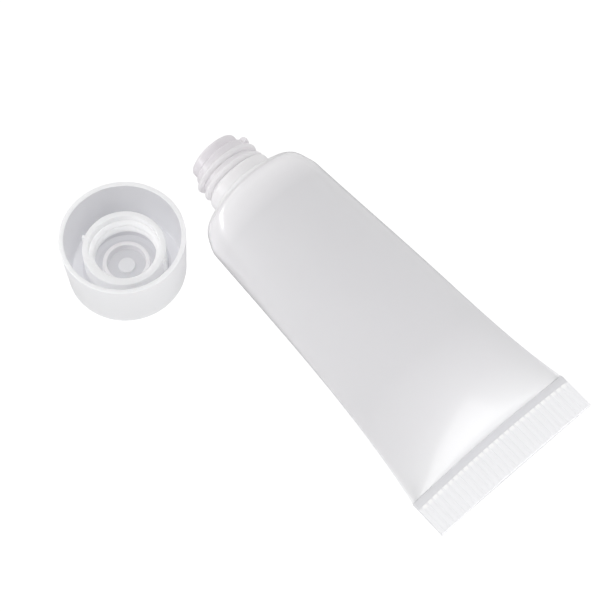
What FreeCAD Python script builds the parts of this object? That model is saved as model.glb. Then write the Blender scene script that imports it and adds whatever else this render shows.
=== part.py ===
import FreeCAD, Part
import math
import os

os.makedirs("parts", exist_ok=True)

V = FreeCAD.Vector

# A small translucent squeeze tube that lies on a table, with its screw cap standing beside it.
# Each piece is first built round the tube's own axis: x = 0 where the neck meets the shoulder,
# +x towards the crimped tail, -x out of the nozzle, +z up. All sizes are millimetres.

# Sleeve: one length of extruded tube, flattened and welded shut at the tail
sleeve_radius = 9.5
sleeve_wall = 0.45
sleeve_length = 51.8
swell_width = 1.0
swell_length = 3.6
flare_width = 2.7
crease_strength = 0.9

# Tail: a flat pressed strip, then a crimped band with ribs along the tube
strip_length = 1.05
strip_thickness = 0.62
crimp_length = 4.85
crimp_thickness = 0.72
rib_pitch = 1.03
rib_width = 0.62
rib_height = 0.14
rib_side_margin = 0.35
tail_overlap = 0.35

# Head: shoulder, neck, thread and nozzle moulded as one piece and welded into the sleeve
shoulder_slope = 2.6
shoulder_edge_radius = 1.8
shoulder_wall = 0.95
sleeve_edge_setback = 0.88
skirt_length = 2.1
skirt_wall = 0.5
skirt_gap = 0.03
neck_length = 6.8
collar_radius = 5.5
collar_length = 1.5
collar_edge_radius = 0.35
core_radius = 4.6
tip_radius = 4.15
tip_length = 1.45
tip_taper = 0.35
tip_edge_radius = 0.45
outlet_radius = 1.6
outlet_length = 1.2
neck_bore_radius = 3.3
bore_taper = 1.2
thread_pitch = 1.65
thread_turns = 2.0
thread_height = 0.75
thread_base_width = 1.1
thread_start_angle = 115.0
thread_sink = 0.2

# Cap: outer skirt, closed end and inner threaded sleeve moulded as one piece
cap_height = 10.2
cap_rim_radius = 9.5
cap_base_radius = 9.0
cap_wall = 0.75
cap_foot_wall = 0.65
cap_floor = 0.9
cap_foot_radius = 0.5
rim_edge_radius = 0.18
inner_sleeve_wall = 0.85
inner_sleeve_drop = 3.4
thread_clearance = 0.1
seal_ring_radius = 3.6
seal_ring_width = 0.65
seat_gap = 0.1
boss_radius = 1.3
boss_height = 0.4
fin_width = 0.55
fin_height = 0.4
fin_angle = 30.4
cap_thread_turns = 2.4

# Place of the cap beside the tube: its axis along the tube from the foot of the neck, and the room
# across the tube between its rim and the sleeve's round end
cap_along = -5.0
cap_side_gap = 0.25

# Values that follow from the sizes above
girth = 2 * math.pi * sleeve_radius
flat_half_width = girth / 4
corner_x = (sleeve_radius - collar_radius) / shoulder_slope
shoulder_angle = math.atan(1 / shoulder_slope)
edge_tangent = shoulder_edge_radius * math.tan((math.pi / 2 - shoulder_angle) / 2)
edge_end_x = corner_x + edge_tangent
edge_centre_r = sleeve_radius - shoulder_edge_radius
sleeve_start = edge_end_x - sleeve_edge_setback
seal_start = sleeve_start + sleeve_length
seal_half = strip_thickness / 2
thread_crest = core_radius + thread_height
cap_bore_radius = thread_crest + thread_clearance
inner_sleeve_radius = cap_bore_radius + inner_sleeve_wall
inner_sleeve_top = cap_height - inner_sleeve_drop
gap_floor_radius = cap_base_radius - cap_foot_wall
cap_across = -(sleeve_radius + cap_rim_radius + cap_side_gap)

# How finely the soft shapes are followed
section_count = 24
skirt_section_count = 8
section_points = 15
outline_steps = 120
halvings = 40
end_step = 0.1


def edge_radius(x):
    """Radius of the round that rolls over the shoulder's edge, and of the sleeve past it."""
    if x >= edge_end_x:
        return sleeve_radius
    reach = edge_end_x - x
    return edge_centre_r + math.sqrt(shoulder_edge_radius**2 - reach**2)


def smooth(t):
    """A soft step from 0 to 1."""
    t = min(max(t, 0.0), 1.0)
    return t * t * (3 - 2 * t)


def along(x):
    """Share of the way from the sleeve's front edge to the weld."""
    return (x - sleeve_start) / sleeve_length


def half_width(x):
    """Half the sleeve's width: round at the head, spreading to the flat tail."""
    t = along(x)
    tail_spread = flat_half_width - sleeve_radius - swell_width - flare_width
    spread = swell_width * smooth((x - sleeve_start) / swell_length)
    spread += flare_width * t
    spread += tail_spread * t**4
    return edge_radius(x) + spread


def crease(x):
    """Shape of the section: 0 is an ellipse, and 1 is a lens with a crease along each side."""
    return crease_strength * smooth(along(x))


def section_point(half_w, half_h, creased, angle):
    y = half_w * math.cos(angle)
    z = half_h * math.sin(angle) * (1 - creased + creased * abs(math.sin(angle)))
    return y, z


def upper_length(half_w, half_h, creased):
    """Length of the upper half of a section."""
    total = 0.0
    last = section_point(half_w, half_h, creased, 0.0)
    for i in range(1, outline_steps + 1):
        here = section_point(half_w, half_h, creased, math.pi * i / outline_steps)
        total += math.hypot(here[0] - last[0], here[1] - last[1])
        last = here
    return total


def half_height(x):
    """Half the sleeve's height: what keeps its girth while it is spread flat."""
    target = math.pi * edge_radius(x)
    half_w = half_width(x)
    creased = crease(x)
    low = 0.0
    high = sleeve_radius
    for _ in range(halvings):
        middle = (low + high) / 2
        if upper_length(half_w, middle, creased) < target:
            low = middle
        else:
            high = middle
    return max(low, seal_half)


def section_wire(x, inset):
    """Outline of the sleeve at x, moved inwards by inset, as an upper and a lower curve."""
    half_w = half_width(x) - inset
    half_h = half_height(x) - inset
    creased = crease(x)
    edges = []
    for start in (0.0, math.pi):
        angles = [start + math.pi * i / (section_points - 1) for i in range(section_points)]
        points = []
        for angle in angles:
            y, z = section_point(half_w, half_h, creased, angle)
            points.append(V(x, y, z))
        curve = Part.BSplineCurve()
        curve.interpolate(Points=points, Parameters=angles)
        edges.append(curve.toShape())
    return Part.Wire(edges)


def stations(start, end, count):
    """Places along the tube, closest together at both ends."""
    places = []
    for i in range(count + 1):
        places.append(start + (end - start) * (1 - math.cos(math.pi * i / count)) / 2)
    return places


def cavity_end():
    """Where the sleeve's two walls come as close together as one wall is thick."""
    x = seal_start
    while half_height(x) < 1.5 * sleeve_wall:
        x -= end_step
    return x


def sleeve_loft(start, end, count, inset):
    wires = []
    for x in stations(start, end, count):
        wires.append(section_wire(x, inset))
    return Part.makeLoft(wires, True, False)


def ribbed_face(x):
    """End face of the crimped band, with half-round ribs above and below."""
    count = int((2 * (flat_half_width - rib_side_margin) - rib_width) / rib_pitch) + 1
    first = -rib_pitch * (count - 1) / 2
    half = crimp_thickness / 2
    edges = []
    for side in (1, -1):
        last = V(x, -side * flat_half_width, side * half)
        for i in range(count):
            middle = side * (first + rib_pitch * i)
            rise = V(x, middle - side * rib_width / 2, side * half)
            fall = V(x, middle + side * rib_width / 2, side * half)
            top = V(x, middle, side * (half + rib_height))
            edges.append(Part.makeLine(last, rise))
            edges.append(Part.Arc(rise, top, fall).toShape())
            last = fall
        corner = V(x, side * flat_half_width, side * half)
        edges.append(Part.makeLine(last, corner))
        edges.append(Part.makeLine(corner, V(x, side * flat_half_width, -side * half)))
    return Part.Face(Part.Wire(edges))


def make_sleeve():
    body = sleeve_loft(sleeve_start, seal_start, section_count, 0.0)
    cavity = sleeve_loft(sleeve_start, cavity_end(), section_count, sleeve_wall)
    strip_start = V(seal_start - tail_overlap, -flat_half_width, -strip_thickness / 2)
    strip_reach = strip_length + 2 * tail_overlap
    strip = Part.makeBox(strip_reach, 2 * flat_half_width, strip_thickness, strip_start)
    crimp_start = seal_start + strip_length
    crimp = ribbed_face(crimp_start).extrude(V(crimp_length, 0, 0))
    tube = body.cut(cavity)
    return tube.fuse([strip, crimp]).removeSplitter()


def ring_of(profile):
    """Solid turned about the tube's axis from a closed profile of (x, radius) edges."""
    face = Part.Face(Part.Wire(profile))
    return face.revolve(V(0, 0, 0), V(1, 0, 0), 360)


def line(a, b):
    return Part.makeLine(V(a[0], a[1], 0), V(b[0], b[1], 0))


def arc(centre, radius, start_degrees, end_degrees):
    """Round edge of a profile, given by its two directions from its centre."""
    points = []
    for degrees in (start_degrees, (start_degrees + end_degrees) / 2, end_degrees):
        turn = math.radians(degrees)
        points.append(V(centre[0] + radius * math.cos(turn), centre[1] + radius * math.sin(turn), 0))
    return Part.Arc(points[0], points[1], points[2]).toShape()


def helical_ridge(base_radius, height, turns, outward):
    """Rounded thread ridge about +z from z = 0, rooted a little behind base_radius."""
    sign = 1 if outward else -1
    root = base_radius - sign * thread_sink
    low = V(root, 0, -thread_base_width / 2)
    crest = V(base_radius + sign * height, 0, 0)
    high = V(root, 0, thread_base_width / 2)
    edges = [Part.Arc(low, crest, high).toShape(), Part.makeLine(high, low)]
    path = Part.makeHelix(thread_pitch, thread_pitch * turns, base_radius)
    return Part.Wire(path).makePipeShell([Part.Wire(edges)], True, True)


def neck_shell():
    """Nozzle, neck and shoulder, turned about the axis, before the thread and the skirt."""
    tip = -neck_length
    tip_end = tip + tip_length
    core_start = tip_end + tip_taper
    collar_start = -collar_length
    collar_round = (collar_start + collar_edge_radius, collar_radius - collar_edge_radius)
    edge_turn = 90 + math.degrees(math.pi / 2 - shoulder_angle)
    edge_start_turn = math.radians(edge_turn)
    cone_end = (
        edge_end_x + shoulder_edge_radius * math.cos(edge_start_turn),
        edge_centre_r + shoulder_edge_radius * math.sin(edge_start_turn),
    )
    rim_radius = edge_radius(sleeve_start)
    rim_turn = math.degrees(math.acos(-sleeve_edge_setback / shoulder_edge_radius))
    inner_shift = shoulder_wall / math.cos(shoulder_angle)
    inner_rim = collar_radius + shoulder_slope * (sleeve_start - inner_shift)
    inner_foot_x = inner_shift - (collar_radius - neck_bore_radius) / shoulder_slope
    outlet_end = tip + outlet_length
    bore_start = outlet_end + bore_taper
    profile = [
        line((tip, outlet_radius), (tip, tip_radius - tip_edge_radius)),
        arc((tip + tip_edge_radius, tip_radius - tip_edge_radius), tip_edge_radius, 180, 90),
        line((tip + tip_edge_radius, tip_radius), (tip_end, tip_radius)),
        line((tip_end, tip_radius), (core_start, core_radius)),
        line((core_start, core_radius), (collar_start, core_radius)),
        line((collar_start, core_radius), (collar_start, collar_round[1])),
        arc(collar_round, collar_edge_radius, 180, 90),
        line((collar_round[0], collar_radius), (0, collar_radius)),
        line((0, collar_radius), cone_end),
        arc((edge_end_x, edge_centre_r), shoulder_edge_radius, edge_turn, rim_turn),
        line((sleeve_start, rim_radius), (sleeve_start, inner_rim)),
        line((sleeve_start, inner_rim), (inner_foot_x, neck_bore_radius)),
        line((inner_foot_x, neck_bore_radius), (bore_start, neck_bore_radius)),
        line((bore_start, neck_bore_radius), (outlet_end, outlet_radius)),
        line((outlet_end, outlet_radius), (tip, outlet_radius)),
    ]
    return ring_of(profile)


def make_head():
    shell = neck_shell()
    skirt_start = sleeve_start - sleeve_wall / 2
    skirt_end = sleeve_start + skirt_length
    outer_inset = sleeve_wall + skirt_gap
    outside = sleeve_loft(skirt_start, skirt_end, skirt_section_count, outer_inset)
    inside = sleeve_loft(skirt_start, skirt_end, skirt_section_count, outer_inset + skirt_wall)
    skirt = outside.cut(inside)
    ridge = helical_ridge(core_radius, thread_height, thread_turns, True)
    ridge.rotate(V(0, 0, 0), V(0, 0, 1), thread_start_angle)
    ridge.translate(V(0, 0, collar_length - thread_sink))
    ridge.rotate(V(0, 0, 0), V(0, 1, 0), -90)
    return shell.fuse([skirt, ridge])


def turned_up(profile):
    """Solid turned about +z from a closed profile of (radius, height) edges."""
    face = Part.Face(Part.Wire(profile))
    face.rotate(V(0, 0, 0), V(1, 0, 0), 90)
    return face.revolve(V(0, 0, 0), V(0, 0, 1), 360)


def closed_depth():
    """Depth below the cap's rim at which the nozzle's tip stops when the cap is screwed on."""
    rest_x = (cap_rim_radius - cap_wall - collar_radius) / shoulder_slope
    return neck_length + rest_x - seat_gap


def make_cap():
    rim_inner = cap_rim_radius - cap_wall
    ring_top = cap_height - closed_depth()
    ring_inner = seal_ring_radius - seal_ring_width
    foot_centre = (cap_base_radius - cap_foot_radius, cap_foot_radius)
    rim_low = cap_height - rim_edge_radius
    profile = [
        line((0, 0), (foot_centre[0], 0)),
        arc(foot_centre, cap_foot_radius, -90, 0),
        line((cap_base_radius, cap_foot_radius), (cap_rim_radius, rim_low)),
        arc((cap_rim_radius - rim_edge_radius, rim_low), rim_edge_radius, 0, 90),
        line((cap_rim_radius - rim_edge_radius, cap_height), (rim_inner + rim_edge_radius, cap_height)),
        arc((rim_inner + rim_edge_radius, rim_low), rim_edge_radius, 90, 180),
        line((rim_inner, rim_low), (gap_floor_radius, cap_floor)),
        line((gap_floor_radius, cap_floor), (inner_sleeve_radius, cap_floor)),
        line((inner_sleeve_radius, cap_floor), (inner_sleeve_radius, inner_sleeve_top)),
        line((inner_sleeve_radius, inner_sleeve_top), (cap_bore_radius, inner_sleeve_top)),
        line((cap_bore_radius, inner_sleeve_top), (cap_bore_radius, cap_floor)),
        line((cap_bore_radius, cap_floor), (seal_ring_radius, cap_floor)),
        line((seal_ring_radius, cap_floor), (seal_ring_radius, ring_top)),
        line((seal_ring_radius, ring_top), (ring_inner, ring_top)),
        line((ring_inner, ring_top), (ring_inner, cap_floor)),
        line((ring_inner, cap_floor), (boss_radius, cap_floor)),
        line((boss_radius, cap_floor), (boss_radius, cap_floor + boss_height)),
        line((boss_radius, cap_floor + boss_height), (0, cap_floor + boss_height)),
        line((0, cap_floor + boss_height), (0, 0)),
    ]
    shell = turned_up(profile)
    reach = inner_sleeve_radius + fin_height
    middle = (cap_bore_radius + inner_sleeve_radius) / 2
    fin_size = (reach - middle, fin_width, inner_sleeve_top - cap_floor)
    added = []
    for half_turn in (0, 180):
        fin = Part.makeBox(*fin_size, V(middle, -fin_width / 2, cap_floor))
        fin.rotate(V(0, 0, 0), V(0, 0, 1), fin_angle + half_turn)
        added.append(fin)
    ridge = helical_ridge(cap_bore_radius, thread_height, cap_thread_turns, False)
    ridge_low = inner_sleeve_top - thread_base_width - thread_pitch * cap_thread_turns
    ridge.translate(V(0, 0, ridge_low))
    added.append(ridge)
    return shell.fuse(added)


def rest_angle():
    """Angle at which the tube lies on the shoulder's edge and on its belly."""
    smallest = math.pi / 2
    for x in stations(edge_end_x + swell_length, seal_start, outline_steps):
        drop = math.atan((sleeve_radius - half_height(x)) / (x - edge_end_x))
        smallest = min(smallest, drop)
    return math.degrees(smallest)


def lowest(shape):
    return shape.optimalBoundingBox(False).ZMin


sleeve = make_sleeve()
head = make_head()
tilt = rest_angle()
for piece in (sleeve, head):
    piece.rotate(V(0, 0, 0), V(0, 1, 0), tilt)
lift = -min(lowest(sleeve), lowest(head))
for piece in (sleeve, head):
    piece.translate(V(0, 0, lift))

cap = make_cap()
cap.translate(V(cap_along, cap_across, 0))

# The origin is on the floor, below the middle of the whole object
box = Part.makeCompound([sleeve, head, cap]).optimalBoundingBox(False)
to_origin = V(-box.Center.x, -box.Center.y, 0)
for piece in (sleeve, head, cap):
    piece.translate(to_origin)

sleeve.exportStep("parts/tube_sleeve.step")
head.exportStep("parts/threaded_head.step")
cap.exportStep("parts/screw_cap.step")

print("tilt of the tube in degrees", tilt)
print("foot of the neck at", to_origin.x, to_origin.y, lift)
print("cap axis at", to_origin.x + cap_along, to_origin.y + cap_across)
for name, piece in (("sleeve", sleeve), ("head", head), ("cap", cap)):
    print(name, piece.isValid(), len(piece.Solids), piece.Volume, piece.optimalBoundingBox(False))
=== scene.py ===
import math

import bmesh
import bpy
from mathutils import Matrix, Vector


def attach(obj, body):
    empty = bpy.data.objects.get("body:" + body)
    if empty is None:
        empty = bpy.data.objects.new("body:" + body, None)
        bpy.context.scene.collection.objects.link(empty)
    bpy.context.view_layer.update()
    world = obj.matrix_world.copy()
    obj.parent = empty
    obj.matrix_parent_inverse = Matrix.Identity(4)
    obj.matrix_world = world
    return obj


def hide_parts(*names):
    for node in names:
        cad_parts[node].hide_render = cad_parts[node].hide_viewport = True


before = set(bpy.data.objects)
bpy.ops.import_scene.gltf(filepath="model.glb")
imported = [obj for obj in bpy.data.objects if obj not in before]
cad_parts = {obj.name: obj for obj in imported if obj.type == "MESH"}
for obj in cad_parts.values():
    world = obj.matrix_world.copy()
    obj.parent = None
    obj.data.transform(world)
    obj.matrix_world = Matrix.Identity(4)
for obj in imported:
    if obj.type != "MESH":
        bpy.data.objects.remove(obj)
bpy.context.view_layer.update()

# A small translucent squeeze tube lying on a light table, with its screw cap standing beside it.
# Each tube piece is made round the tube's own axis, in millimetres: x = 0 at the foot of the neck,
# +x towards the crimped tail, +z up. It is then tilted onto its belly and put in its place.
# The cap is made round +z, also in millimetres.

# Sleeve: round at the head, with a slight swell behind the shoulder, and spread flat at the tail
sleeve_radius = 9.5
sleeve_wall = 0.45
seal_start = 53.695
swell_width = 0.8
swell_length = 2.8
flare_width = 2.7
middle_fullness = 0.3
middle_lean = 0.3
crease_strength = 0.9

# Tail: a flat welded strip, then a band that crimping jaws have ribbed on both sides
strip_length = 1.05
strip_thickness = 0.62
crimp_length = 4.85
crimp_thickness = 0.72
rib_pitch = 1.03
rib_width = 0.76
rib_height = 0.07
rib_side_margin = 0.35
rib_front_margin = 0.02
rib_back_margin = 0.08
tail_overlap = 0.1
tail_edge_radius = 0.2
edge_step = 0.05
bow_depth = 0.45
bow_at_cut_end = 0.18
bow_reach = 14.0

# Head: nozzle, threaded neck, collar and shoulder, with a skirt inside the sleeve
shoulder_slope = 2.3
shoulder_edge_radius = 1.8
shoulder_wall = 0.95
sleeve_edge_setback = 0.88
skirt_length = 2.1
skirt_wall = 0.5
skirt_gap = 0.03
neck_length = 6.8
collar_radius = 5.5
collar_length = 1.1
collar_foot = 0.8
collar_edge_radius = 0.5
core_radius = 4.6
tip_radius = 4.15
tip_length = 1.45
tip_taper = 0.35
tip_edge_radius = 0.45
outlet_radius = 1.6
outlet_length = 1.2
neck_bore_radius = 3.3
bore_taper = 1.2
thread_pitch = 1.65
thread_turns = 2.15
thread_height = 0.75
thread_base_width = 1.0
thread_start_angle = 115.0
thread_foot = 1.22
thread_sink = 0.2
thread_run_out = 0.08

# Cap: outer wall, inner threaded sleeve with two fins, seal ring and boss
cap_height = 10.2
cap_rim_radius = 9.5
cap_base_radius = 9.0
cap_wall = 0.75
cap_foot_wall = 0.65
cap_floor = 0.9
cap_foot_radius = 0.5
rim_edge_radius = 0.18
inner_sleeve_wall = 0.85
inner_sleeve_drop = 3.4
thread_clearance = 0.1
seal_ring_radius = 3.6
seal_ring_width = 0.65
seal_ring_top = 2.25
boss_radius = 1.3
boss_height = 0.4
fin_width = 0.55
fin_height = 0.4
fin_angle = 30.4
cap_thread_turns = 2.2
cap_thread_drop = 0.6
cap_thread_start = -48.0

# Small rounds that a mould leaves on the inner edges
moulded_round = 0.12

# Place of the tube and the cap
tube_tilt = 4.735186
neck_foot = (-22.466286, 6.913717, 9.696762)
cap_axis = (-27.466286, -12.336283)

# Values that follow from the sizes above
flat_half_width = math.pi * sleeve_radius / 2
corner_x = collar_foot + (sleeve_radius - collar_radius) / shoulder_slope
shoulder_angle = math.atan(1 / shoulder_slope)
edge_end_x = corner_x + shoulder_edge_radius * math.tan((math.pi / 2 - shoulder_angle) / 2)
edge_centre_r = sleeve_radius - shoulder_edge_radius
sleeve_start = edge_end_x - sleeve_edge_setback
sleeve_length = seal_start - sleeve_start
crimp_start = seal_start + strip_length
cut_end = crimp_start + crimp_length
cap_bore_radius = core_radius + thread_height + thread_clearance
inner_sleeve_radius = cap_bore_radius + inner_sleeve_wall
inner_sleeve_top = cap_height - inner_sleeve_drop
gap_floor_radius = cap_base_radius - cap_foot_wall
skirt_end = sleeve_start + skirt_length

# How finely the shapes are followed
points_round_sleeve = 192
sleeve_stations = 120
skirt_stations = 8
points_round_head = 160
outline_steps = 120
halvings = 40
fillet_steps = 5
support_gap = 0.08
thread_points_per_turn = 96
thread_points_round = 24
rib_points_along = 25
rib_points_round = 16
band_columns = 60
band_spans = 24
cavity_step = 0.1
ridge_end_scale = 0.02
doubles_apart = 1e-5
loop_reach = 1e-3

MM = 0.001

# Patterns in the plastics, in waves per metre. Real draw lines are finer than a pixel, so they are
# drawn about a millimetre apart.
sleeve_clouds = 90.0
head_clouds = 200.0
draw_streaks = (40.0, 900.0, 900.0)
pressed_grain = 2500.0

# What the plastics have in common. Milky plastic scatters red, green and blue light equally far.
bump_depth = 0.1 * MM
ldpe_ior = 1.51
pp_ior = 1.49
even_scatter = (1.0, 1.0, 1.0)

# Where the plastics' tones, painted highlights and painted shade change, along the tube and up the
# cap
skirt_and_highlight_fade_start = skirt_end - 1.0
skirt_and_highlight_fade_end = skirt_end + 3.0
weld_walls_and_highlight_start = seal_start - 15.0
weld_walls_and_highlight_middle = seal_start - 7.0
tip_end = tip_length + tip_taper - neck_length
tip_fade_end = tip_end + 1.2
rib_highlight_start = crimp_start + 0.35
rib_highlight_end = crimp_start + 0.7
cap_shade_fade_start = cap_floor + 1.0
cap_shade_fade_end = inner_sleeve_top - 2.8
tone_blend = 0.1

tube_place = (
    Matrix.Translation(Vector(neck_foot) * MM)
    @ Matrix.Rotation(math.radians(tube_tilt), 4, "Y")
    @ Matrix.Scale(MM, 4)
)
cap_place = Matrix.Translation(Vector((*cap_axis, 0.0)) * MM) @ Matrix.Scale(MM, 4)


# Shape rules of the sleeve


def edge_radius(x):
    """Radius of the round that rolls over the shoulder's edge, and of the sleeve past it."""
    if x >= edge_end_x:
        return sleeve_radius
    return edge_centre_r + math.sqrt(shoulder_edge_radius**2 - (edge_end_x - x) ** 2)


def smooth(t):
    """A soft step from 0 to 1."""
    t = min(max(t, 0.0), 1.0)
    return t * t * (3 - 2 * t)


def along(x):
    """Share of the way from the sleeve's front edge to the weld."""
    return (x - sleeve_start) / sleeve_length


def half_width(x):
    """Half the sleeve's width: round at the head, spreading to the flat tail."""
    t = along(x)
    tail_spread = flat_half_width - sleeve_radius - swell_width - flare_width
    spread = swell_width * smooth((x - sleeve_start) / swell_length)
    return edge_radius(x) + spread + flare_width * t + tail_spread * t**4 + fullness(x)


def fullness(x):
    """How much wider the soft middle of the sleeve lies than the straight line to the tail."""
    return middle_fullness * math.sin(math.pi * min(max(along(x), 0.0), 1.0)) ** 2


def lean(x):
    """How far the soft middle of the sleeve leans to one side as it lies."""
    return middle_lean / middle_fullness * fullness(x)


def crease(x):
    """Shape of the section: 0 is an ellipse, and 1 is a lens with a crease along each side."""
    return crease_strength * smooth(along(x))


def upper_length(half_w, half_h, creased):
    """Length of the upper half of a section."""
    total = 0.0
    last = (half_w, 0.0)
    for i in range(1, outline_steps + 1):
        angle = math.pi * i / outline_steps
        rise = math.sin(angle)
        here = (half_w * math.cos(angle), half_h * rise * (1 - creased + creased * rise))
        total += math.hypot(here[0] - last[0], here[1] - last[1])
        last = here
    return total


def half_height(x):
    """Half the sleeve's height: what keeps its girth while it is spread flat."""
    target = math.pi * edge_radius(x)
    half_w = half_width(x)
    creased = crease(x)
    low = 0.0
    high = sleeve_radius
    for _ in range(halvings):
        middle = (low + high) / 2
        if upper_length(half_w, middle, creased) < target:
            low = middle
        else:
            high = middle
    return max(low, strip_thickness / 2)


def stations(start, end, count):
    """Places along the tube, closest together at both ends."""
    places = []
    for i in range(count + 1):
        places.append(start + (end - start) * (1 - math.cos(math.pi * i / count)) / 2)
    return places


def pulled_in(x, y):
    """How far the weld's middle is pulled towards the head, as a full tube pulls its flat tail."""
    across = 1 - min(abs(y) / flat_half_width, 1.0) ** 2
    if x < seal_start:
        depth = bow_depth * smooth(1 - (seal_start - x) / bow_reach)
    else:
        share = min((x - seal_start) / (cut_end - seal_start), 1.0)
        depth = bow_depth + (bow_at_cut_end - bow_depth) * share
    return depth * across


def mark_places(mesh):
    """Keeps each point's place along the tube, which the plastics' tones follow."""
    places = mesh.attributes.new("from_neck", "FLOAT", "POINT").data
    for vert, place in zip(mesh.vertices, places):
        place.value = vert.co.x
    return mesh


def pull_in(mesh):
    """Bows a straight mesh as the weld is bowed."""
    mark_places(mesh)
    for vert in mesh.vertices:
        vert.co.x -= pulled_in(vert.co.x, vert.co.y)


# Making nodes


def add_node(tree, kind, inputs=(), **settings):
    """Adds a node with its settings, and gives each named input a value or a link."""
    made = tree.nodes.new(kind)
    for name, value in settings.items():
        setattr(made, name, value)
    for name, value in dict(inputs).items():
        if isinstance(value, bpy.types.NodeSocket):
            tree.links.new(value, made.inputs[name])
        else:
            made.inputs[name].default_value = value
    return made


def linear(hex_colour):
    """Linear colour of an sRGB hex value such as "E4E4E6"."""
    channels = []
    for i in (0, 2, 4):
        value = int(hex_colour[i : i + 2], 16) / 255
        channels.append(value / 12.92 if value <= 0.04045 else ((value + 0.055) / 1.055) ** 2.4)
    return (*channels, 1.0)


# Materials


def new_material(name):
    """An empty node material."""
    material = bpy.data.materials.new(name)
    material.use_nodes = True
    material.node_tree.nodes.clear()
    return material


def show(material, shader):
    """Gives a material its surface shader."""
    add_node(material.node_tree, "ShaderNodeOutputMaterial", {"Surface": shader.outputs[0]})


def tone_along(tree, stops):
    """Colour that changes along the tube, from stops of (millimetres from the neck, hex colour)."""
    from_neck = add_node(tree, "ShaderNodeAttribute", attribute_name="from_neck").outputs["Fac"]
    share = add_node(
        tree,
        "ShaderNodeMapRange",
        {"Value": from_neck, "From Min": -neck_length, "From Max": cut_end},
    ).outputs[0]
    tones = add_node(tree, "ShaderNodeValToRGB", {"Fac": share})
    whole = neck_length + cut_end
    set_stops(tones.color_ramp, [((at + neck_length) / whole, colour) for at, colour in stops])
    return tones.outputs[0]


def set_stops(ramp, stops):
    """Gives a colour ramp its stops of (place, hex colour), in rising order of place."""
    while len(ramp.elements) < len(stops):
        ramp.elements.new(1.0)
    for element, (place, colour) in zip(ramp.elements, stops):
        element.position = place
        element.color = linear(colour)


def overlaid(tree, strength, tone, pattern):
    """A tone with a faint pattern of lighter and darker patches on it."""
    return add_node(
        tree,
        "ShaderNodeMix",
        {"Factor": strength, 6: tone, 7: pattern},
        data_type="RGBA",
        blend_type="OVERLAY",
    ).outputs[2]


def mixed(tree, share, first, second):
    """Colour that goes from the first to the second as the share goes from 0 to 1."""
    return add_node(
        tree, "ShaderNodeMix", {"Factor": share, 6: first, 7: second}, data_type="RGBA"
    ).outputs[2]


def ramp_up_to(tree, value, highest, stops):
    """Colour that follows a value in metres, from stops of (millimetres, hex colour)."""
    share = add_node(
        tree, "ShaderNodeMapRange", {"Value": value, "From Max": highest * MM}
    ).outputs[0]
    ramp = add_node(tree, "ShaderNodeValToRGB", {"Fac": share})
    set_stops(ramp.color_ramp, [(at / highest, colour) for at, colour in stops])
    return ramp.outputs[0]


def ldpe_sleeve():
    """Low-density polyethylene, extruded: milky grey with a satin skin, a clear gloss on its
    rounds and faint draw streaks. It is whiter in front, where the head's skirt lies behind it and a
    painted highlight stands for light on the shoulder's round. It is also whiter towards the weld,
    where its two walls meet and a painted highlight stands for the bright fan where it flattens."""
    material = new_material("LDPE_extruded_satin")
    tree = material.node_tree
    place = add_node(tree, "ShaderNodeTexCoord").outputs["Object"]
    cloud = add_node(
        tree, "ShaderNodeTexNoise", {"Vector": place, "Scale": sleeve_clouds, "Detail": 3.0}
    ).outputs["Fac"]
    # Whiter at the front for the skirt behind and a painted highlight on the shoulder's round, and at
    # the weld for its two walls and a painted highlight of the bright fan
    tone = tone_along(
        tree,
        [
            (sleeve_start, "FDFBFE"),
            (skirt_and_highlight_fade_start, "F9F7FA"),
            (skirt_and_highlight_fade_end, "E4E3E6"),
            (weld_walls_and_highlight_start, "E4E3E6"),
            (weld_walls_and_highlight_middle, "ECEBEE"),
            (seal_start, "F6F6F8"),
        ],
    )
    clouded = overlaid(tree, 0.04, tone, cloud)
    drawn_out = add_node(
        tree, "ShaderNodeMapping", {"Vector": place, "Scale": draw_streaks}
    ).outputs[0]
    streaks = add_node(
        tree, "ShaderNodeTexNoise", {"Vector": drawn_out, "Scale": 1.0, "Detail": 2.0}
    ).outputs["Fac"]
    ripple = add_node(
        tree, "ShaderNodeBump", {"Height": streaks, "Strength": 0.12, "Distance": bump_depth}
    ).outputs[0]
    shader = add_node(
        tree,
        "ShaderNodeBsdfPrincipled",
        {
            "Base Color": clouded,
            "Normal": ripple,
            "Roughness": 0.27,
            "IOR": ldpe_ior,
            "Specular IOR Level": 0.8,
            "Coat Weight": 0.5,
            "Coat Roughness": 0.14,
            "Subsurface Weight": 0.35,
            "Subsurface Radius": even_scatter,
            "Subsurface Scale": 0.001,
        },
    )
    show(material, shader)
    return material


def ldpe_tail(name, stops):
    """The same sleeve pressed flat under heat: two walls in one, so less clear, and with the fine
    grain of the jaws."""
    material = new_material(name)
    tree = material.node_tree
    place = add_node(tree, "ShaderNodeTexCoord").outputs["Object"]
    grain = add_node(
        tree, "ShaderNodeTexNoise", {"Vector": place, "Scale": pressed_grain, "Detail": 2.0}
    ).outputs["Fac"]
    pressed = add_node(
        tree, "ShaderNodeBump", {"Height": grain, "Strength": 0.2, "Distance": bump_depth}
    ).outputs[0]
    shader = add_node(
        tree,
        "ShaderNodeBsdfPrincipled",
        {
            "Base Color": tone_along(tree, stops),
            "Normal": pressed,
            "Roughness": 0.3,
            "IOR": ldpe_ior,
        },
    )
    show(material, shader)
    return material


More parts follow.
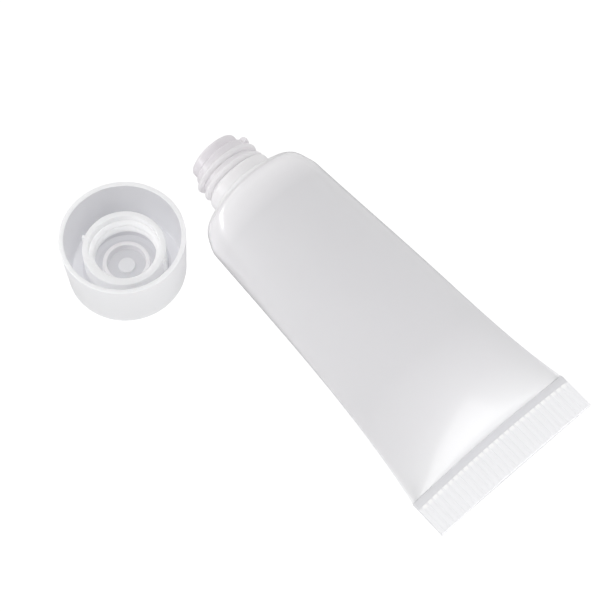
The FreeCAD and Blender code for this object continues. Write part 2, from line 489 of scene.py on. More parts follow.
def ldpe_head():
    """The same polyethylene, injection moulded: thick and faintly mauve, darkest at the nozzle's
    tip and whiter towards the shoulder."""
    material = new_material("LDPE_moulded_gloss")
    tree = material.node_tree
    place = add_node(tree, "ShaderNodeTexCoord").outputs["Object"]
    cloud = add_node(
        tree, "ShaderNodeTexNoise", {"Vector": place, "Scale": head_clouds, "Detail": 2.0}
    ).outputs["Fac"]
    tone = tone_along(
        tree,
        [
            (-neck_length, "E3DFE3"),
            (tip_end, "E5E1E5"),
            (tip_fade_end, "EDEAED"),
            (-collar_length, "F8F6F8"),
            (sleeve_start, "FAF8FA"),
        ],
    )
    clouded = overlaid(tree, 0.06, tone, cloud)
    shader = add_node(
        tree,
        "ShaderNodeBsdfPrincipled",
        {
            "Base Color": clouded,
            "Roughness": 0.3,
            "IOR": ldpe_ior,
            "Subsurface Weight": 0.5,
            "Subsurface Radius": even_scatter,
            "Subsurface Scale": 0.002,
        },
    )
    show(material, shader)
    return material


def cap_tone_and_painted_shade(tree, place):
    """Tone of each part of the cap, by its distance from the axis and its height, with painted shade
    darkening its floor, its gap and its wall's inner face, and painted light whitening the inner
    sleeve towards its mouth.
    """
    from_axis = add_node(
        tree,
        "ShaderNodeMapping",
        {
            "Vector": place,
            "Location": (-cap_axis[0] * MM, -cap_axis[1] * MM, 0.0),
            "Scale": (1.0, 1.0, 0.0),
        },
    ).outputs[0]
    radius = add_node(
        tree, "ShaderNodeVectorMath", {0: from_axis}, operation="LENGTH"
    ).outputs["Value"]
    height = add_node(tree, "ShaderNodeSeparateXYZ", {0: place}).outputs["Z"]
    ring_inner = seal_ring_radius - seal_ring_width
    # Painted shade: the floor, the gap and the wall's inner face are darker than the wall's outside
    # and the seal ring
    tone_and_shade_by_radius = ramp_up_to(
        tree,
        radius,
        cap_rim_radius,
        [
            (0.0, "E0E0E2"),
            (boss_radius - tone_blend, "E0E0E2"),
            (boss_radius + tone_blend, "D0D0D3"),
            (ring_inner - tone_blend, "D0D0D3"),
            (ring_inner + tone_blend, "ECEAEC"),
            (seal_ring_radius + 0.5 * tone_blend, "ECEAEC"),
            (seal_ring_radius + 2.5 * tone_blend, "D4D4D7"),
            (inner_sleeve_radius, "D4D4D7"),
            (inner_sleeve_radius + 2 * tone_blend, "E4E4E7"),
            (gap_floor_radius, "E4E4E7"),
            (cap_rim_radius - cap_wall, "D0D0D3"),
            (cap_base_radius - tone_blend, "E9E9EB"),
            (cap_rim_radius, "E9E9EB"),
        ],
    )
    # Painted shade low in the inner sleeve, and painted light towards its mouth for light that its
    # clear wall carries in
    inner_sleeve_shade_and_light = ramp_up_to(
        tree,
        height,
        cap_height,
        [(0.0, "D8D8DB"), (cap_shade_fade_start, "DCDCDF"), (cap_shade_fade_end, "FDFDFE")],
    )
    in_inner_sleeve = ramp_up_to(
        tree,
        radius,
        cap_rim_radius,
        [
            (0.0, "000000"),
            (core_radius - tone_blend, "000000"),
            (core_radius + tone_blend, "FFFFFF"),
            (inner_sleeve_radius + fin_height, "FFFFFF"),
            (inner_sleeve_radius + fin_height + tone_blend, "000000"),
        ],
    )
    at_rim = ramp_up_to(
        tree,
        height,
        cap_height,
        [
            (0.0, "000000"),
            (cap_height - 1.5 * tone_blend, "000000"),
            (cap_height - 0.5 * tone_blend, "FFFFFF"),
        ],
    )
    below_rim = mixed(tree, in_inner_sleeve, tone_and_shade_by_radius, inner_sleeve_shade_and_light)
    return mixed(tree, at_rim, below_rim, linear("F4F4F6"))


def pp_cap():
    """Polypropylene, injection moulded in a fine matt cavity: frosted and pale outside, with painted
    shade darker down in its gap, on its floor and on its wall's inner face, and painted light whitest
    round the mouth of the inner sleeve."""
    material = new_material("PP_moulded_frosted")
    tree = material.node_tree
    place = add_node(tree, "ShaderNodeTexCoord").outputs["Object"]
    shader = add_node(
        tree,
        "ShaderNodeBsdfPrincipled",
        {
            "Base Color": cap_tone_and_painted_shade(tree, place),
            "Roughness": 0.4,
            "IOR": pp_ior,
            "Subsurface Weight": 0.6,
            "Subsurface Radius": even_scatter,
            "Subsurface Scale": 0.002,
        },
    )
    show(material, shader)
    return material


# Geometry Nodes: the flattened sleeve, the threads and the crimp's ribs


def new_tree(name, **sizes):
    """A Geometry Nodes tree with a geometry input, named inputs for its sizes and one output."""
    tree = bpy.data.node_groups.new(name, "GeometryNodeTree")
    tree.interface.new_socket("Geometry", in_out="INPUT", socket_type="NodeSocketGeometry")
    for size, kind in sizes.items():
        tree.interface.new_socket(
            size.replace("_", " "), in_out="INPUT", socket_type="NodeSocket" + kind
        )
    tree.interface.new_socket("Geometry", in_out="OUTPUT", socket_type="NodeSocketGeometry")
    return tree, add_node(tree, "NodeGroupInput").outputs


def math_node(tree, operation, first, second=0.0):
    """Output of a math node on one or two values or links."""
    return add_node(
        tree, "ShaderNodeMath", {0: first, 1: second}, operation=operation
    ).outputs[0]


def close_tree(tree, shape, material):
    """Ends a tree: smooth shading, real geometry in place of instances, and its material."""
    soft = add_node(tree, "GeometryNodeSetShadeSmooth", {"Geometry": shape})
    real = add_node(tree, "GeometryNodeRealizeInstances", {"Geometry": soft.outputs[0]})
    dressed = add_node(
        tree, "GeometryNodeSetMaterial", {"Geometry": real.outputs[0], "Material": material}
    )
    add_node(tree, "NodeGroupOutput", {"Geometry": dressed.outputs[0]})


def grow(tree, seed_mesh, **sizes):
    """Plain mesh that a tree makes from a seed mesh at the given sizes."""
    carrier = bpy.data.objects.new("carrier", seed_mesh)
    bpy.context.scene.collection.objects.link(carrier)
    modifier = carrier.modifiers.new("grow", "NODES")
    modifier.node_group = tree
    for socket in tree.interface.items_tree:
        size = socket.name.replace(" ", "_")
        if socket.in_out == "INPUT" and size in sizes:
            modifier[socket.identifier] = sizes[size]
    graph = bpy.context.evaluated_depsgraph_get()
    mesh = bpy.data.meshes.new_from_object(carrier.evaluated_get(graph))
    bpy.data.objects.remove(carrier)
    return mesh


def sleeve_tree(material):
    """Sweeps a section along a line of stations, each with its own width, height and crease."""
    tree, sizes = new_tree("flattened_sleeve", Points_round="Int", Inset="Float")
    line = add_node(tree, "GeometryNodeMeshToCurve", {"Mesh": sizes["Geometry"]}).outputs[0]
    ring = add_node(
        tree, "GeometryNodeCurvePrimitiveCircle", {"Resolution": sizes["Points round"], "Radius": 1.0}
    ).outputs[0]
    index = add_node(tree, "GeometryNodeInputIndex").outputs[0]
    turn = math_node(
        tree, "MULTIPLY", math_node(tree, "DIVIDE", index, sizes["Points round"]), 2 * math.pi
    )
    marked = add_node(
        tree,
        "GeometryNodeStoreNamedAttribute",
        {"Geometry": ring, "Name": "turn", "Value": turn},
        data_type="FLOAT",
        domain="POINT",
    ).outputs[0]
    swept = add_node(
        tree, "GeometryNodeCurveToMesh", {"Curve": line, "Profile Curve": marked}
    ).outputs[0]
    read = {}
    for name in ("half_width", "half_height", "crease", "lean", "turn"):
        read[name] = add_node(
            tree, "GeometryNodeInputNamedAttribute", {"Name": name}, data_type="FLOAT"
        ).outputs[0]
    place = add_node(
        tree, "ShaderNodeSeparateXYZ", {0: add_node(tree, "GeometryNodeInputPosition").outputs[0]}
    ).outputs
    across = math_node(tree, "COSINE", read["turn"])
    rise = math_node(tree, "SINE", read["turn"])
    steep = math_node(tree, "ABSOLUTE", rise)
    plain = math_node(tree, "SUBTRACT", 1.0, read["crease"])
    lens = math_node(tree, "ADD", plain, math_node(tree, "MULTIPLY", read["crease"], steep))
    wide = math_node(tree, "SUBTRACT", read["half_width"], sizes["Inset"])
    high = math_node(tree, "SUBTRACT", read["half_height"], sizes["Inset"])
    y = math_node(tree, "ADD", math_node(tree, "MULTIPLY", wide, across), read["lean"])
    z = math_node(tree, "MULTIPLY", math_node(tree, "MULTIPLY", high, rise), lens)
    where = add_node(tree, "ShaderNodeCombineXYZ", {0: place[0], 1: y, 2: z}).outputs[0]
    shaped = add_node(
        tree, "GeometryNodeSetPosition", {"Geometry": swept, "Position": where}
    ).outputs[0]
    close_tree(tree, shaped, material)
    return tree


def thread_tree(material):
    """A rounded ridge that follows a helix and runs out into the wall at both ends."""
    tree, sizes = new_tree(
        "thread_ridge",
        Radius="Float",
        Pitch="Float",
        Turns="Float",
        Height="Float",
        Sink="Float",
        Base_width="Float",
        Run_out="Float",
        Points_per_turn="Int",
    )
    helix = add_node(
        tree,
        "GeometryNodeCurveSpiral",
        {
            "Resolution": sizes["Points per turn"],
            "Rotations": sizes["Turns"],
            "Start Radius": sizes["Radius"],
            "End Radius": sizes["Radius"],
            "Height": math_node(tree, "MULTIPLY", sizes["Pitch"], sizes["Turns"]),
        },
    ).outputs[0]
    upright = add_node(
        tree, "GeometryNodeSetCurveNormal", {"Curve": helix}, mode="Z_UP"
    ).outputs[0]
    share = add_node(tree, "GeometryNodeSplineParameter").outputs["Factor"]
    nearer = math_node(tree, "MINIMUM", share, math_node(tree, "SUBTRACT", 1.0, share))
    reach = math_node(
        tree, "DIVIDE", math_node(tree, "MULTIPLY", nearer, sizes["Turns"]), sizes["Run out"]
    )
    swell = add_node(
        tree,
        "ShaderNodeMapRange",
        {"Value": reach, "To Min": ridge_end_scale, "To Max": 1.0},
        interpolation_type="SMOOTHSTEP",
    ).outputs[0]
    sized = add_node(
        tree, "GeometryNodeSetCurveRadius", {"Curve": upright, "Radius": swell}
    ).outputs[0]
    ring = add_node(
        tree,
        "GeometryNodeCurvePrimitiveCircle",
        {"Resolution": thread_points_round, "Radius": 1.0},
    ).outputs[0]
    place = add_node(
        tree, "ShaderNodeSeparateXYZ", {0: add_node(tree, "GeometryNodeInputPosition").outputs[0]}
    ).outputs
    above = math_node(tree, "MAXIMUM", place[1], 0.0)
    below = math_node(tree, "MINIMUM", place[1], 0.0)
    crest = math_node(tree, "MULTIPLY", above, sizes["Height"])
    root = math_node(tree, "MULTIPLY", below, sizes["Sink"])
    half_base = math_node(tree, "MULTIPLY", sizes["Base width"], 0.5)
    side = math_node(tree, "MULTIPLY", place[0], half_base)
    outwards = math_node(tree, "MULTIPLY", math_node(tree, "ADD", crest, root), -1.0)
    where = add_node(tree, "ShaderNodeCombineXYZ", {0: outwards, 1: side}).outputs[0]
    outline = add_node(
        tree, "GeometryNodeSetPosition", {"Geometry": ring, "Position": where}
    ).outputs[0]
    ridge = add_node(
        tree,
        "GeometryNodeCurveToMesh",
        {"Curve": sized, "Profile Curve": outline, "Fill Caps": True},
    ).outputs[0]
    close_tree(tree, ridge, material)
    return tree


def rib_tree(material):
    """Rows of round-ended ribs along the tube, above and below the crimped band."""
    tree, sizes = new_tree(
        "crimp_ribs",
        Count="Int",
        Pitch="Float",
        Length="Float",
        Width="Float",
        Height="Float",
        Band_half_thickness="Float",
    )
    end = add_node(tree, "ShaderNodeCombineXYZ", {0: sizes["Length"]}).outputs[0]
    line = add_node(tree, "GeometryNodeCurvePrimitiveLine", {"End": end}).outputs[0]
    fine = add_node(
        tree, "GeometryNodeResampleCurve", {"Curve": line, "Count": rib_points_along}
    ).outputs[0]
    share = add_node(tree, "GeometryNodeSplineParameter").outputs["Factor"]
    nearer = math_node(tree, "MINIMUM", share, math_node(tree, "SUBTRACT", 1.0, share))
    reach = math_node(tree, "MULTIPLY", nearer, sizes["Length"])
    swell = add_node(
        tree,
        "ShaderNodeMapRange",
        {
            "Value": reach,
            "From Max": sizes["Width"],
            "To Min": ridge_end_scale,
            "To Max": 1.0,
        },
        interpolation_type="SMOOTHSTEP",
    ).outputs[0]
    sized = add_node(
        tree, "GeometryNodeSetCurveRadius", {"Curve": fine, "Radius": swell}
    ).outputs[0]
    ring = add_node(
        tree, "GeometryNodeCurvePrimitiveCircle", {"Resolution": rib_points_round, "Radius": 1.0}
    ).outputs[0]
    bar = add_node(
        tree, "GeometryNodeCurveToMesh", {"Curve": sized, "Profile Curve": ring, "Fill Caps": True}
    ).outputs[0]
    half = math_node(tree, "MULTIPLY", sizes["Width"], 0.5)
    stretch = add_node(
        tree, "ShaderNodeCombineXYZ", {0: 1.0, 1: half, 2: sizes["Height"]}
    ).outputs[0]
    rib = add_node(tree, "GeometryNodeTransform", {"Geometry": bar, "Scale": stretch}).outputs[0]
    span = math_node(
        tree, "MULTIPLY", math_node(tree, "SUBTRACT", sizes["Count"], 1.0), sizes["Pitch"]
    )
    first_y = math_node(tree, "MULTIPLY", span, -0.5)
    step = add_node(tree, "ShaderNodeCombineXYZ", {1: sizes["Pitch"]}).outputs[0]
    rows = add_node(tree, "GeometryNodeJoinGeometry")
    for side in (1.0, -1.0):
        z = math_node(tree, "MULTIPLY", sizes["Band half thickness"], side)
        start = add_node(tree, "ShaderNodeCombineXYZ", {1: first_y, 2: z}).outputs[0]
        row = add_node(
            tree,
            "GeometryNodeMeshLine",
            {"Count": sizes["Count"], "Start Location": start, "Offset": step},
        ).outputs[0]
        tree.links.new(row, rows.inputs[0])
    ribs = add_node(
        tree, "GeometryNodeInstanceOnPoints", {"Points": rows.outputs[0], "Instance": rib}
    ).outputs[0]
    close_tree(tree, ribs, material)
    return tree


# Plain mesh making


def mesh_from(name, points, faces, material):
    """Mesh of the given points and faces, in one material."""
    mesh = bpy.data.meshes.new(name)
    mesh.from_pydata(points, [], faces)
    mesh.materials.append(material)
    return mesh


def merged(name, *meshes):
    """One mesh of several, with doubles merged, outward faces and smooth shading."""
    bm = bmesh.new()
    for mesh in meshes:
        bm.from_mesh(mesh)
    bmesh.ops.remove_doubles(bm, verts=bm.verts, dist=doubles_apart)
    bmesh.ops.recalc_face_normals(bm, faces=bm.faces)
    for face in bm.faces:
        face.smooth = True
    made = bpy.data.meshes.new(name)
    bm.to_mesh(made)
    bm.free()
    made.materials.append(meshes[0].materials[0])
    return made


def piece(name, mesh, place, slot, *nodes):
    """Puts a finished mesh in the part's frame and hides the model's parts that it stands in for."""
    mesh.name = name
    mesh.transform(place)
    made = bpy.data.objects.new(name, mesh)
    bpy.context.scene.collection.objects.link(made)
    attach(made, "root")
    if nodes:
        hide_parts(*nodes)
    # The milky walls of head and cap let light through, so they darken nothing behind them
    made.visible_shadow = slot == "sleeve"


def rounded(corners):
    """Outline through corners of (a, b, round), with each corner's round and support points."""
    outline = []
    count = len(corners)
    for i, (a, b, radius) in enumerate(corners):
        here = Vector((a, b))
        before = Vector(corners[i - 1][:2])
        after = Vector(corners[(i + 1) % count][:2])
        to_before = (before - here).normalized()
        to_after = (after - here).normalized()
        if radius <= 0:
            outline.append(here)
            continue
        half = to_before.angle(to_after) / 2
        reach = radius / math.tan(half)
        centre = here + (to_before + to_after).normalized() * (radius / math.sin(half))
        first = here + to_before * reach
        last = here + to_after * reach
        if (before - here).length > reach + 3 * support_gap:
            outline.append(first + to_before * support_gap)
        start = first - centre
        sweep = start.angle_signed(last - centre)
        for step in range(fillet_steps + 1):
            turn = Matrix.Rotation(-sweep * step / fillet_steps, 2)
            outline.append(centre + turn @ start)
        if (after - here).length > reach + 3 * support_gap:
            outline.append(last + to_after * support_gap)
    return outline


def turned(name, outline, upright, count, material):
    """Surface turned from a closed outline of (along, radius), with single points on the axis."""
    points = []
    rows = []
    for at, radius in outline:
        row = []
        if radius < doubles_apart:
            points.append((at, 0.0, 0.0))
            row = [len(points) - 1] * count
        else:
            for i in range(count):
                turn = 2 * math.pi * i / count
                row.append(len(points))
                points.append((at, radius * math.cos(turn), radius * math.sin(turn)))
        rows.append(row)
    faces = []
    for i, row in enumerate(rows):
        following = rows[(i + 1) % len(rows)]
        for j in range(count):
            k = (j + 1) % count
            corners = []
            for corner in (row[j], row[k], following[k], following[j]):
                if corner not in corners:
                    corners.append(corner)
            if len(corners) > 2:
                faces.append(corners)
    if upright:
        points = [(y, z, x) for x, y, z in points]
    return mesh_from(name, points, faces, material)


# Sleeve


station_rules = (
    ("half_width", half_width),
    ("half_height", half_height),
    ("crease", crease),
    ("lean", lean),
)


def station_line(places):
    """Line of stations that carries each section's width, height and crease."""
    mesh = bpy.data.meshes.new("stations")
    links = [(i, i + 1) for i in range(len(places) - 1)]
    mesh.from_pydata([(x, 0.0, 0.0) for x in places], links, [])
    for name, rule in station_rules:
        values = mesh.attributes.new(name, "FLOAT", "POINT").data
        for i, x in enumerate(places):
            values[i].value = rule(x)
    return mesh


def cavity_end():
    """Where the sleeve's two walls come as close together as one wall is thick."""
    x = seal_start
    while half_height(x) < 1.5 * sleeve_wall:
        x -= cavity_step
    return x


def loops_at(bm, x):
    """Open edges of the loop that lies at x."""
    open_edges = [edge for edge in bm.edges if edge.is_boundary]
    return [edge for edge in open_edges if abs(edge.verts[0].co.x - x) < loop_reach]


def swept_shell(material, start, end, inset, wall, count, inner_end=None):
    """Closed shell between two skins of the sleeve's shape. With inner_end, both skins are closed
    behind, and otherwise the two are joined at both ends."""
    tree = sleeve_tree(material)
    bm = bmesh.new()
    for skin_end, skin_inset in ((end, inset), (inner_end or end, inset + wall)):
        line = station_line(stations(start, skin_end, count))
        skin = grow(tree, line, Points_round=points_round_sleeve, Inset=skin_inset)
        bm.from_mesh(skin)
        if inner_end:
            bmesh.ops.contextual_create(bm, geom=loops_at(bm, skin_end))
    bmesh.ops.bridge_loops(bm, edges=loops_at(bm, start))
    if not inner_end:
        bmesh.ops.bridge_loops(bm, edges=loops_at(bm, end))
    bmesh.ops.recalc_face_normals(bm, faces=bm.faces)
    for face in bm.faces:
        face.smooth = True
    made = bpy.data.meshes.new("shell")
    bm.to_mesh(made)
    bm.free()
    made.materials.append(material)
    pull_in(made)
    return made


def sleeve_shell(material):
    """The sleeve from its front edge to the weld, hollow up to where its walls meet."""
    return swept_shell(
        material, sleeve_start, seal_start, 0.0, sleeve_wall, sleeve_stations, cavity_end()
    )


# The cut end's round, in edge steps back from the end and in from the face
cut_end_round = ((2.5, 0.0), (1.0, 0.6), (0.0, 2.5))


def band_levels():
    """Strip, crimped band and cut end from front to back, as (along, half the thickness)."""
    half_strip = strip_thickness / 2
    half_crimp = crimp_thickness / 2
    flat_start = crimp_start + 4 * edge_step
    flat_length = crimp_length - 8 * edge_step
    levels = [
        (seal_start - tail_overlap, half_strip - edge_step),
        (seal_start - tail_overlap + edge_step, half_strip),
        (crimp_start - edge_step, half_strip),
        (crimp_start, half_strip + 0.4 * edge_step),
        (crimp_start + edge_step, half_crimp),
    ]
    for i in range(band_spans):
        levels.append((flat_start + flat_length * i / band_spans, half_crimp))
    for back, inwards in cut_end_round:
        levels.append((cut_end - back * edge_step, half_crimp - inwards * edge_step))
    return levels


def band_section(half):
    """Outline of the tail band across the tube, as (y, z), with a round at each corner."""
    radius = tail_edge_radius
    flat = flat_half_width - radius
    corner = []
    for i in range(1, fillet_steps + 2):
        turn = math.pi / 2 * i / (fillet_steps + 1)
        corner.append((flat + radius * math.sin(turn), half - radius + radius * math.cos(turn)))
    outline = []
    for side in (1, -1):
        for i in range(band_columns + 1):
            outline.append((side * (flat - 2 * flat * i / band_columns), side * half))
        outline += [(-side * out, side * up) for out, up in corner]
        outline += [(-side * out, -side * up) for out, up in reversed(corner)]
    return outline


def tail_band(material):
    """Welded strip and crimped band: flat bars with soft edges, bowed like the weld."""
    points = []
    rows = []
    for x, half in band_levels():
        section = band_section(half)
        rows.append(list(range(len(points), len(points) + len(section))))
        points += [(x, y, z) for y, z in section]
    faces = [rows[0], rows[-1]]
    for row, following in zip(rows, rows[1:]):
        for j in range(len(row)):
            k = (j + 1) % len(row)
            faces.append((row[j], row[k], following[k], following[j]))
    band = merged("tail_band", mesh_from("band", points, faces, material))
    pull_in(band)
    return band


def crimp_ribs(material):
    """Ribs pressed by the crimping jaws, along the tube on both sides of the band."""
    count = int((2 * (flat_half_width - rib_side_margin) - rib_width) / rib_pitch) + 1
    mesh = grow(
        rib_tree(material),
        bpy.data.meshes.new("seed"),
        Count=count,
        Pitch=rib_pitch,
        Length=crimp_length - rib_front_margin - rib_back_margin,
        Width=rib_width,
        Height=rib_height,
        Band_half_thickness=crimp_thickness / 2,
    )
    mesh.transform(Matrix.Translation((crimp_start + rib_front_margin, 0, 0)))
    pull_in(mesh)
    return mesh


# Head


def shoulder_round():
    """The round that leads the cone over to the sleeve's front edge."""
    cone_turn = math.pi - shoulder_angle
    rim_turn = math.acos(-sleeve_edge_setback / shoulder_edge_radius)
    arc = []
    for i in range(2 * fillet_steps + 1):
        turn = cone_turn + (rim_turn - cone_turn) * i / (2 * fillet_steps)
        arc.append(
            (
                edge_end_x + shoulder_edge_radius * math.cos(turn),
                edge_centre_r + shoulder_edge_radius * math.sin(turn),
                0.0,
            )
        )
    return arc


def head_outline():
    """Closed outline of nozzle, neck, collar and shoulder, as (along, radius)."""
    tip = -neck_length
    taper_start = tip + tip_length
    inner_shift = shoulder_wall / math.cos(shoulder_angle)
    inner_foot = collar_foot + inner_shift
    inner_rim = collar_radius + shoulder_slope * (sleeve_start - inner_foot)
    inner_bore_end = inner_foot - (collar_radius - neck_bore_radius) / shoulder_slope
    outlet_end = tip + outlet_length
    corners = [
        (tip, outlet_radius, moulded_round),
        (tip, tip_radius, tip_edge_radius),
        (taper_start, tip_radius, moulded_round),
        (taper_start + tip_taper, core_radius, moulded_round),
        (-collar_length, core_radius, moulded_round),
        (-collar_length, collar_radius, collar_edge_radius),
        (collar_foot, collar_radius, 2 * moulded_round),
    ]
    corners += shoulder_round()
    corners += [
        (sleeve_start, inner_rim, 0.0),
        (inner_bore_end, neck_bore_radius, 0.0),
        (outlet_end + bore_taper, neck_bore_radius, 0.0),
        (outlet_end, outlet_radius, 0.0),
    ]
    return rounded(corners)


def ridge(material, radius, height, sink, turns):
    """Thread ridge round +z from z = 0; a negative height points it inwards."""
    return grow(
        thread_tree(material),
        bpy.data.meshes.new("seed"),
        Radius=radius,
        Pitch=thread_pitch,
        Turns=turns,
        Height=height,
        Sink=sink,
        Base_width=thread_base_width,
        Run_out=thread_run_out,
        Points_per_turn=thread_points_per_turn,
    )


def neck_thread(material):
    """The thread round the neck, from beside the collar to the nozzle's tip."""
    mesh = ridge(material, core_radius, thread_height, thread_sink, thread_turns)
    up_the_neck = (
        Matrix.Rotation(math.radians(-90), 4, "Y")
        @ Matrix.Translation((0, 0, thread_foot))
        @ Matrix.Rotation(math.radians(thread_start_angle), 4, "Z")
    )
    mesh.transform(up_the_neck)
    return mark_places(mesh)


def inner_skirt(material):
    """Skirt of the head inside the sleeve's front end, where the two are welded."""
    inset = sleeve_wall + skirt_gap
    return swept_shell(material, sleeve_start, skirt_end, inset, skirt_wall, skirt_stations)


# Cap


def cap_outline():
    """Closed outline of the cap, as (height, radius)."""
    rim_inner = cap_rim_radius - cap_wall
    ring_inner = seal_ring_radius - seal_ring_width
    soft = moulded_round
    return rounded(
        [
            (0.0, 0.0, 0.0),
            (0.0, cap_base_radius, cap_foot_radius),
            (cap_height, cap_rim_radius, rim_edge_radius),
            (cap_height, rim_inner, rim_edge_radius),
            (cap_floor, gap_floor_radius, 2 * soft),
            (cap_floor, inner_sleeve_radius, soft),
            (inner_sleeve_top, inner_sleeve_radius, soft),
            (inner_sleeve_top, cap_bore_radius, soft),
            (cap_floor, cap_bore_radius, soft),
            (cap_floor, seal_ring_radius, soft),
            (seal_ring_top, seal_ring_radius, soft),
            (seal_ring_top, ring_inner, soft),
            (cap_floor, ring_inner, soft),
            (cap_floor, boss_radius, soft),
            (cap_floor + boss_height, boss_radius, soft),
            (cap_floor + boss_height, 0.0, 0.0),
        ]
    )


def cap_thread(material):
    """The thread inside the cap, pointing inwards and ending just below the sleeve's mouth."""
    mesh = ridge(material, cap_bore_radius, -thread_height, -thread_sink, cap_thread_turns)
    low = inner_sleeve_top - cap_thread_drop - thread_pitch * cap_thread_turns
    mesh.transform(
        Matrix.Translation((0, 0, low)) @ Matrix.Rotation(math.radians(cap_thread_start), 4, "Z")
    )
    return mesh


def cap_fins(material):
    """Two upright ribs on opposite sides of the inner sleeve."""
    middle = (cap_bore_radius + inner_sleeve_radius) / 2
    reach = inner_sleeve_radius + fin_height - middle
    tall = inner_sleeve_top - cap_floor
    bm = bmesh.new()
    for half_turn in (0, 180):
        place = (
            Matrix.Rotation(math.radians(fin_angle + half_turn), 4, "Z")
            @ Matrix.Translation((middle + reach / 2, 0, cap_floor + tall / 2))
            @ Matrix.Diagonal((reach, fin_width, tall, 1))
        )
        bmesh.ops.create_cube(bm, size=1.0, matrix=place)
    bmesh.ops.bevel(
        bm, geom=bm.edges, offset=moulded_round, segments=3, profile=0.5, affect="EDGES"
    )
    mesh = bpy.data.meshes.new("fins")
    bm.to_mesh(mesh)
    bm.free()
    mesh.materials.append(material)
    return merged("cap_fins", mesh)


# The pieces

sleeve_plastic = ldpe_sleeve()

# The strip is greyer than the band behind it
sealed_plastic = ldpe_tail(
    "LDPE_heat_sealed",
    [(0.0, "E7E7EA"), (crimp_start - edge_step, "E7E7EA"), (crimp_start + 2 * edge_step, "F5F5F7")],
)

# The ribs' front ends are painted white: a painted highlight for the row of light dashes beside the
# strip
crimped_plastic = ldpe_tail(
    "LDPE_crimped", [(0.0, "FFFFFF"), (rib_highlight_start, "FFFFFF"), (rib_highlight_end, "F5F5F7")]
)
head_plastic = ldpe_head()
cap_plastic = pp_cap()

piece("tube_skin", sleeve_shell(sleeve_plastic), tube_place, "sleeve", "tube_sleeve")
piece("tail_band", tail_band(sealed_plastic), tube_place, "sleeve", "tube_sleeve")
piece("crimp_ribs", crimp_ribs(crimped_plastic), tube_place, "sleeve", "tube_sleeve")

head_turned = turned("shell", head_outline(), False, points_round_head, head_plastic)
head_shell = mark_places(merged("head_shell", head_turned))
piece("head_shell", head_shell, tube_place, "head", "threaded_head")
piece("neck_thread", neck_thread(head_plastic), tube_place, "head", "threaded_head")
piece("inner_skirt", inner_skirt(head_plastic), tube_place, "head", "threaded_head")

cap_shell = turned("shell", cap_outline(), True, points_round_head, cap_plastic)
piece("cap_shell", merged("cap_shell", cap_shell), cap_place, "cap", "screw_cap")
piece("cap_thread", cap_thread(cap_plastic), cap_place, "cap", "screw_cap")
piece("cap_fins", cap_fins(cap_plastic), cap_place, "cap", "screw_cap")

# Floor, light and camera


def light_table():
    """Pale acrylic sheet lit from below, as under a product picture."""
    material = new_material("acrylic_light_table")
    shader = add_node(
        material.node_tree,
        "ShaderNodeBsdfPrincipled",
        {
            "Base Color": linear("888888"),
            "Roughness": 0.9,
            "Specular IOR Level": 0.0,
            "Emission Color": linear("FFFFFF"),
            "Emission Strength": 0.85,
        },
    )
    show(material, shader)
    return material


half_floor = 1.5
floor_drop = 0.00002
floor_corners = [
    (-half_floor, -half_floor, -floor_drop),
    (half_floor, -half_floor, -floor_drop),
    (half_floor, half_floor, -floor_drop),
    (-half_floor, half_floor, -floor_drop),
]
floor_mesh = mesh_from("floor", floor_corners, [(0, 1, 2, 3)], light_table())
floor = bpy.data.objects.new("floor", floor_mesh)
bpy.context.scene.collection.objects.link(floor)
# The bright table isn't mirrored in the plastic, whose sides would otherwise vanish into it
floor.visible_glossy = False


def seen_from(azimuth, elevation):
    """Direction towards a place at these angles: azimuth 0 is -Y and 90 is +X."""
    turn = math.radians(azimuth)
    lift = math.radians(elevation)
    level = math.cos(lift)
    return Vector((math.sin(turn) * level, -math.cos(turn) * level, math.sin(lift)))


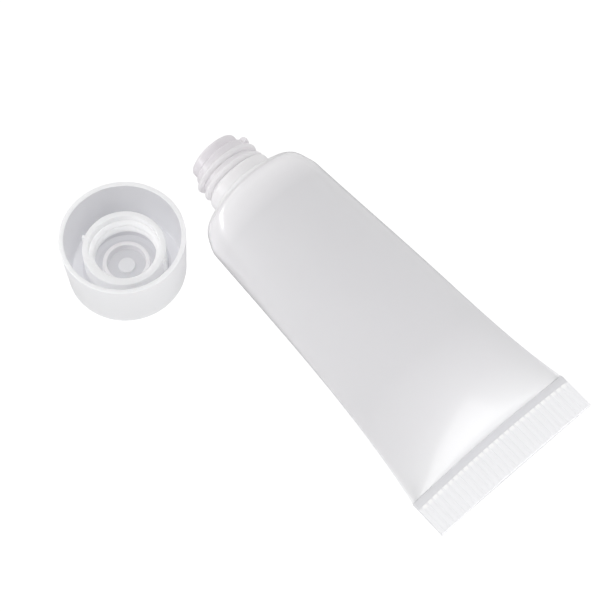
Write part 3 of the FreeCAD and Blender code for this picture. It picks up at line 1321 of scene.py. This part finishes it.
def softbox(name, target, azimuth, elevation, distance, size, brightness):
    """Square area light that looks at a target, as bright as the given share of full white."""
    towards = seen_from(azimuth, elevation)
    data = bpy.data.lights.new(name, "AREA")
    data.shape = "SQUARE"
    data.size = size
    data.energy = brightness * math.pi * size**2
    lamp = bpy.data.objects.new(name, data)
    lamp.location = Vector(target) + towards * distance
    lamp.rotation_mode = "QUATERNION"
    lamp.rotation_quaternion = towards.to_track_quat("Z", "Y")
    lamp.visible_camera = False
    bpy.context.scene.collection.objects.link(lamp)


# A light tent: even panels above and all round, a little dimmer behind and on the head's side
for name, azimuth, elevation, brightness in (
    ("tent_top", 0, 90, 0.56),
    ("tent_front", 0, 0, 0.56),
    ("tent_right", 90, 0, 0.56),
    ("tent_back", 180, 0, 0.52),
    ("tent_left", 270, 0, 0.46),
):
    softbox(name, (0, 0, 0), azimuth, elevation, distance=0.8, size=1.6, brightness=brightness)

# A card that lifts the shoulder, the nozzle and the cap
softbox(
    "head_card",
    target=(-0.022, 0.002, 0.012),
    azimuth=-60,
    elevation=40,
    distance=0.12,
    size=0.08,
    brightness=0.75,
)

# A small bright window, for the one sharp spot on the shoulder's round
softbox(
    "window",
    target=(-0.018, -0.001, 0.0145),
    azimuth=-28,
    elevation=10,
    distance=0.12,
    size=0.016,
    brightness=23.0,
)

# A low card behind the tail, for the bright fan where the sleeve flattens
softbox(
    "tail_card",
    target=(0.034, -0.001, 0.003),
    azimuth=98,
    elevation=32,
    distance=0.085,
    size=0.09,
    brightness=1.25,
)

# A faint even glow fills what the tent leaves dark
world = bpy.data.worlds.new("studio")
world.use_nodes = True
world.node_tree.nodes.clear()
dome = add_node(
    world.node_tree, "ShaderNodeBackground", {"Color": linear("FFFFFF"), "Strength": 0.2}
)
add_node(world.node_tree, "ShaderNodeOutputWorld", {"Surface": dome.outputs[0]})
bpy.context.scene.world = world
bpy.context.scene.view_settings.view_transform = "Standard"

# Camera at the photo's angle
camera_azimuth = 47.9
camera_elevation = 63.35
camera_distance = 0.3025
camera_target = Vector((-0.00448, 0.00361, 0.0))
camera_data = bpy.data.cameras.new("camera")
camera_data.sensor_width = 36.0
camera_data.lens = 117.6
camera_data.clip_start = 0.01
camera = bpy.data.objects.new("camera", camera_data)
back = seen_from(camera_azimuth, camera_elevation)
camera.location = camera_target + back * camera_distance
camera.rotation_mode = "QUATERNION"
camera.rotation_quaternion = (-back).to_track_quat("-Z", "Y")
bpy.context.scene.collection.objects.link(camera)
bpy.context.scene.camera = camera
